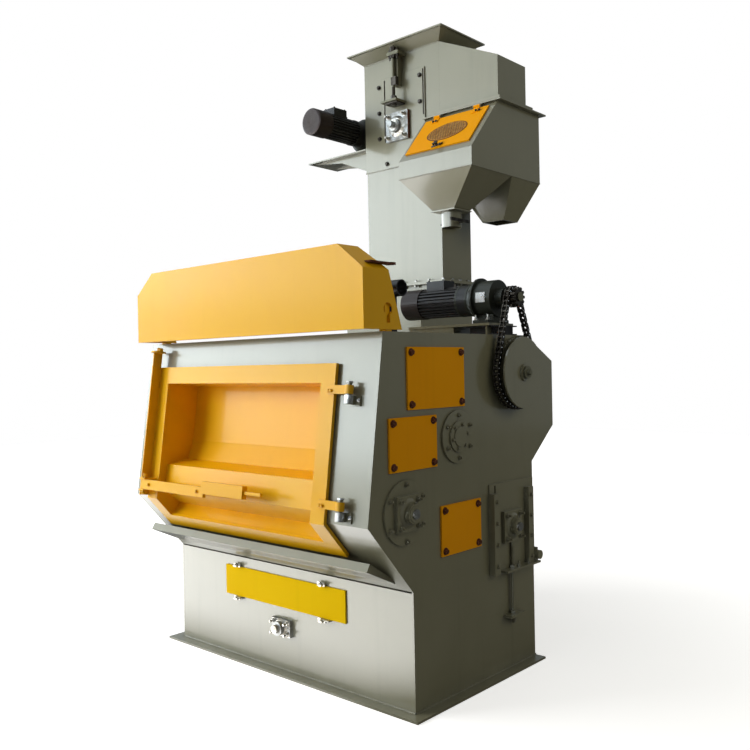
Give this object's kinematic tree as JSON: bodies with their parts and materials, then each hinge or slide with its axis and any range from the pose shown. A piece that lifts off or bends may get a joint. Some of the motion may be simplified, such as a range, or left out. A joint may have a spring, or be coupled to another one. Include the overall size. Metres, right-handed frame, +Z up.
{
  "type": "shot blasting machine",
  "caption": "Tumble belt shot blasting machine with a yellow dished door, a bucket elevator and a separator, in green-grey paint",
  "frame": {"origin": "on the floor, on the centre line of the cabinet, in the plane of the lower front plate", "axes": "+X to the right seen from the front, where the chain drive is; +Y to the back; +Z up"},
  "size_m": [1.913, 1.9802, 3.386],
  "materials": {
    "green_paint": "gloss",
    "yellow_paint": "gloss",
    "black_paint": "satin",
    "bare_steel": "brushed",
    "oiled_steel": "satin",
    "belt_rubber": "matte"
  },
  "bodies": {
    "machine": {"access_cover": "yellow_paint", "base_toe": "green_paint", "belt_rollers": "bare_steel", "cabinet_hinge_knuckles": "green_paint", "crawler_belt": "belt_rubber", "drip_gutter": "green_paint", "drive_chain": "oiled_steel", "drive_motor": "black_paint", "drive_reducer": "black_paint", "drive_stand": "green_paint", "elevator_casing": "green_paint", "elevator_column": "green_paint", "elevator_head": "green_paint", "end_disc_flanges": "green_paint", "end_discs": "bare_steel", "feed_tube": "black_paint", "front_bearing": "bare_steel", "front_frame": "green_paint", "front_roller_flanges": "green_paint", "head_bearing": "bare_steel", "head_motor": "black_paint", "head_reducer": "black_paint", "head_rim": "green_paint", "large_sprocket": "green_paint", "left_side_plate": "green_paint", "lower_front_plate": "green_paint", "motor_platform": "green_paint", "outlet_spout": "green_paint", "right_side_plate": "green_paint", "roof_and_back": "green_paint", "separator_body": "green_paint", "separator_hoppers": "green_paint", "shaft_bearings": "green_paint", "side_covers": "yellow_paint", "small_sprocket": "oiled_steel", "take_up_plate": "green_paint", "take_up_screw": "green_paint", "tension_units": "green_paint", "transfer_chute": "green_paint", "wheel_hood": "yellow_paint"},
    "door": {"door_frame": "yellow_paint", "door_tray": "yellow_paint"},
    "latch": {"latch_lever": "yellow_paint"},
    "hatch": {"hatch_panel": "yellow_paint"},
    "gate": {"gate_lever": "bare_steel"}
  },
  "joints": [
    {"name": "door_hinge", "type": "hinge", "parent": "machine", "child": "door", "pos_m": [0.69, -0.3047, 0.8278], "axis": [0, 0.1402, 0.9901], "range_deg": [0, 110]},
    {"name": "latch_pivot", "type": "hinge", "parent": "door", "child": "latch", "pos_m": [-0.65, -0.33586, 0.89278], "axis": [0, -0.1402, -0.9901], "range_deg": [0, 110]},
    {"name": "hatch_hinge", "type": "hinge", "parent": "machine", "child": "hatch", "pos_m": [0.244, 1.14106, 2.88006], "axis": [-1, 0, 0], "range_deg": [0, 100]},
    {"name": "gate_shaft", "type": "hinge", "parent": "machine", "child": "gate", "pos_m": [0.256, 1.064, 2.24576], "axis": [1, 0, 0], "range_deg": [-20, 20]}
  ]
}
